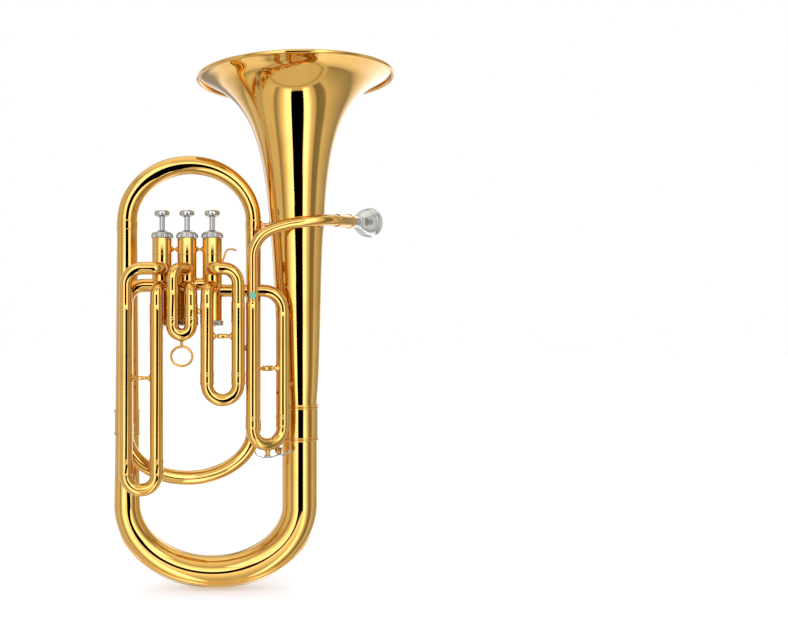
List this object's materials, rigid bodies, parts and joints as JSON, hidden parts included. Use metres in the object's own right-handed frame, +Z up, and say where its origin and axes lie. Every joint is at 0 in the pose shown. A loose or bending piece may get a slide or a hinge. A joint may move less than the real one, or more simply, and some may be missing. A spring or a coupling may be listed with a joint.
{
  "type": "baritone horn",
  "caption": "Upright baritone horn in lacquered brass: flared bell, large bows, sprung piston valves, pull-out tuning slides, water key and silver mouthpiece.",
  "frame": {"origin": "middle of the overall box at the height of the lowest point, which is the bottom of the bow guard", "axes": "+Z up along the bell, +X towards the bell side of the horn, +Y from the valve side to the back"},
  "size_m": [0.3263, 0.23, 0.5955],
  "materials": {
    "lacquered_brass": "polished yellow brass under clear lacquer",
    "nickel_silver": "polished nickel plate",
    "silver_plate": "silver plate, polished",
    "cupronickel": "honed cupronickel, bare",
    "spring_steel": "plain spring wire",
    "cork": "natural cork",
    "green_marker": "small glossy marker"
  },
  "bodies": {
    "horn": {"bell": "lacquered_brass", "bell_rim_wire": "lacquered_brass", "bell_ferrule": "lacquered_brass", "bottom_bow": "lacquered_brass", "bow_guard": "lacquered_brass", "left_branch": "lacquered_brass", "left_branch_ferrule": "lacquered_brass", "top_bow": "lacquered_brass", "top_bow_ferrules": "lacquered_brass", "middle_branch": "lacquered_brass", "inner_bow": "lacquered_brass", "inner_bow_ferrules": "lacquered_brass", "exit_branch": "lacquered_brass", "entry_crook": "lacquered_brass", "valve_casing_1": "lacquered_brass", "valve_casing_2": "lacquered_brass", "valve_casing_3": "lacquered_brass", "intervalve_tubes": "lacquered_brass", "casing_balusters": "lacquered_brass", "valve_top_caps": "nickel_silver", "valve_bottom_caps": "nickel_silver", "valve_crooks_1": "lacquered_brass", "valve_crooks_2": "lacquered_brass", "valve_crooks_3": "lacquered_brass", "first_slide_outer_tubes": "lacquered_brass", "second_slide_outer_tubes": "lacquered_brass", "third_slide_outer_tubes": "lacquered_brass", "tuning_slide_outer_tubes": "lacquered_brass", "leadpipe": "lacquered_brass", "mouthpiece_receiver": "lacquered_brass", "bell_brace": "lacquered_brass", "slide_braces": "lacquered_brass", "small_stays": "lacquered_brass", "finger_hook": "lacquered_brass", "inspection_dot": "green_marker"},
    "valve_1": {"piston_1": "cupronickel", "valve_stem_1": "nickel_silver", "finger_button_1": "nickel_silver", "valve_spring_1": "spring_steel"},
    "valve_2": {"piston_2": "cupronickel", "valve_stem_2": "nickel_silver", "finger_button_2": "nickel_silver", "valve_spring_2": "spring_steel"},
    "valve_3": {"piston_3": "cupronickel", "valve_stem_3": "nickel_silver", "finger_button_3": "nickel_silver", "valve_spring_3": "spring_steel"},
    "first_slide": {"first_slide_bow": "lacquered_brass", "first_slide_inner_tubes": "cupronickel"},
    "third_slide": {"third_slide_bow": "lacquered_brass", "third_slide_inner_tubes": "cupronickel"},
    "second_slide": {"second_slide_bow": "lacquered_brass", "second_slide_inner_tubes": "cupronickel", "pull_ring": "lacquered_brass"},
    "tuning_slide": {"tuning_slide_bow": "lacquered_brass", "tuning_slide_inner_tubes": "cupronickel", "water_key_saddle": "lacquered_brass"},
    "water_key": {"water_key_lever": "nickel_silver", "water_key_cork": "cork"},
    "mouthpiece": {"mouthpiece": "silver_plate"}
  },
  "joints": [
    {"name": "valve_1_press", "type": "slide", "parent": "horn", "child": "valve_1", "axis": [0, 0, -1], "range_m": [0, 0.014], "stiffness_N_per_m": 180, "springref_m": -0.012, "deforming": ["valve_spring_1"]},
    {"name": "valve_2_press", "type": "slide", "parent": "horn", "child": "valve_2", "axis": [0, 0, -1], "range_m": [0, 0.014], "stiffness_N_per_m": 180, "springref_m": -0.012, "deforming": ["valve_spring_2"]},
    {"name": "valve_3_press", "type": "slide", "parent": "horn", "child": "valve_3", "axis": [0, 0, -1], "range_m": [0, 0.014], "stiffness_N_per_m": 180, "springref_m": -0.012, "deforming": ["valve_spring_3"]},
    {"name": "first_slide_pull", "type": "slide", "parent": "horn", "child": "first_slide", "axis": [0, 0, -1], "range_m": [0, 0.06]},
    {"name": "second_slide_pull", "type": "slide", "parent": "horn", "child": "second_slide", "axis": [0, 0, -1], "range_m": [0, 0.018]},
    {"name": "third_slide_pull", "type": "slide", "parent": "horn", "child": "third_slide", "axis": [0, 0, -1], "range_m": [0, 0.08]},
    {"name": "tuning_slide_pull", "type": "slide", "parent": "horn", "child": "tuning_slide", "axis": [0, 0, -1], "range_m": [0, 0.06]},
    {"name": "water_key_lift", "type": "hinge", "parent": "tuning_slide", "child": "water_key", "pos_m": [0.027, -0.03555, 0.163], "axis": [0.4472, -0.8944, 0], "range_deg": [0, 18], "stiffness_Nm_per_rad": 0.02, "springref_deg": -34.38},
    {"name": "mouthpiece_pull", "type": "slide", "parent": "horn", "child": "mouthpiece", "axis": [0.5445, 0.8373, 0.05], "range_m": [0, 0.03]}
  ]
}
